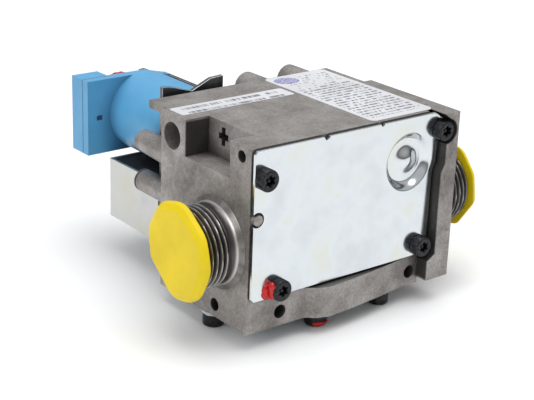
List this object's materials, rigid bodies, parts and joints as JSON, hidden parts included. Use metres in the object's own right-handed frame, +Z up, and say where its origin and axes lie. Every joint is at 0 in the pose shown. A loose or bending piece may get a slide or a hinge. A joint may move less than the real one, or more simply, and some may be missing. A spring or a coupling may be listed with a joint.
{
  "type": "gas valve",
  "caption": "Die-cast boiler gas valve with an inlet and outlet thread in line, sheet-steel cover, safety coil, modulating coil, main diaphragm valve and transit caps.",
  "frame": {"origin": "centre of the open end of the inlet's threaded stub, on the pipe axis", "axes": "+X along the pipe axis from inlet to outlet, +Y from the front cover towards the coils, +Z up"},
  "size_m": [0.1178, 0.1176, 0.0694],
  "materials": {
    "cast_aluminium": "raw die-cast",
    "zinc_steel": "zinc plated",
    "stainless": "turned",
    "spring_steel": "bright",
    "black_steel": "black oxide",
    "yellow_plastic": "satin",
    "blue_plastic": "satin",
    "red_plastic": "satin",
    "black_plastic": "moulded",
    "rubber": "matt",
    "brass": "turned",
    "copper": "enamelled wire",
    "tin_plate": "tinned",
    "label": "printed film"
  },
  "bodies": {
    "valve": {"valve_body": "cast_aluminium", "front_gasket": "rubber", "front_cover": "zinc_steel", "cover_screws": "black_steel", "bottom_gasket": "rubber", "bottom_cover": "zinc_steel", "bottom_screws": "black_steel", "inlet_strainer": "stainless", "rating_label": "label", "serial_label": "label", "coil_bracket": "zinc_steel", "safety_coil": "blue_plastic", "safety_winding": "copper", "safety_terminals": "tin_plate", "safety_tube": "stainless", "safety_o_ring": "rubber", "safety_core": "stainless", "safety_seat": "brass", "safety_spring": "spring_steel", "modulator_frame": "zinc_steel", "modulator_coil": "black_plastic", "modulator_winding": "copper", "modulator_terminals": "tin_plate", "modulator_tube": "stainless", "modulator_o_ring": "rubber", "pilot_seat": "brass", "modulator_spring": "spring_steel", "main_seat": "brass", "main_diaphragm": "rubber", "main_spring": "spring_steel"},
    "inlet_plug": {"inlet_cap": "yellow_plastic"},
    "outlet_plug": {"outlet_cap": "yellow_plastic"},
    "coil_lock": {"coil_cap": "red_plastic"},
    "safety_shutter": {"safety_plunger": "stainless", "safety_disc": "rubber"},
    "pilot_shutter": {"modulator_plunger": "stainless", "pilot_disc": "rubber"},
    "main_shutter": {"main_valve": "stainless", "main_valve_disc": "rubber", "diaphragm_plate": "stainless"},
    "adjuster": {"modulator_adjuster": "brass"},
    "dust_cap": {"modulator_cap": "black_plastic"},
    "inlet_screw": {"inlet_test_screw": "brass"},
    "outlet_screw": {"outlet_test_screw": "brass"}
  },
  "joints": [
    {"name": "inlet_cap_pull", "type": "slide", "parent": "valve", "child": "inlet_plug", "axis": [-1, 0, 0], "range_m": [0, 0.04]},
    {"name": "outlet_cap_pull", "type": "slide", "parent": "valve", "child": "outlet_plug", "axis": [1, 0, 0], "range_m": [0, 0.04]},
    {"name": "coil_cap_pull", "type": "slide", "parent": "valve", "child": "coil_lock", "axis": [0, 1, 0], "range_m": [0, 0.02]},
    {"name": "dust_cap_pull", "type": "slide", "parent": "valve", "child": "dust_cap", "axis": [0, 1, 0], "range_m": [0, 0.02]},
    {"name": "safety_lift", "type": "slide", "parent": "valve", "child": "safety_shutter", "axis": [0, 1, 0], "range_m": [0, 0.0023], "stiffness_N_per_m": 300, "springref_m": -0.008, "deforming": ["safety_spring"]},
    {"name": "pilot_lift", "type": "slide", "parent": "valve", "child": "pilot_shutter", "axis": [0, 1, 0], "range_m": [0, 0.0015], "stiffness_N_per_m": 200, "springref_m": -0.006, "deforming": ["modulator_spring"]},
    {"name": "main_lift", "type": "slide", "parent": "valve", "child": "main_shutter", "axis": [0, 0, 1], "range_m": [0, 0.003], "stiffness_N_per_m": 250, "springref_m": -0.008, "deforming": ["main_spring", "main_diaphragm"]},
    {"name": "adjuster_turn", "type": "hinge", "parent": "valve", "child": "adjuster", "pos_m": [0.0345, 0.07, -0.0069], "axis": [0, 1, 0], "range_deg": [-180, 180]},
    {"name": "inlet_screw_turn", "type": "hinge", "parent": "valve", "child": "inlet_screw", "pos_m": [0.0644, 0.05, 0.0295], "axis": [0, 1, 0], "range_deg": [0, 360]},
    {"name": "outlet_screw_turn", "type": "hinge", "parent": "valve", "child": "outlet_screw", "pos_m": [0.0833, 0.05, 0.0295], "axis": [0, 1, 0], "range_deg": [0, 360]}
  ]
}
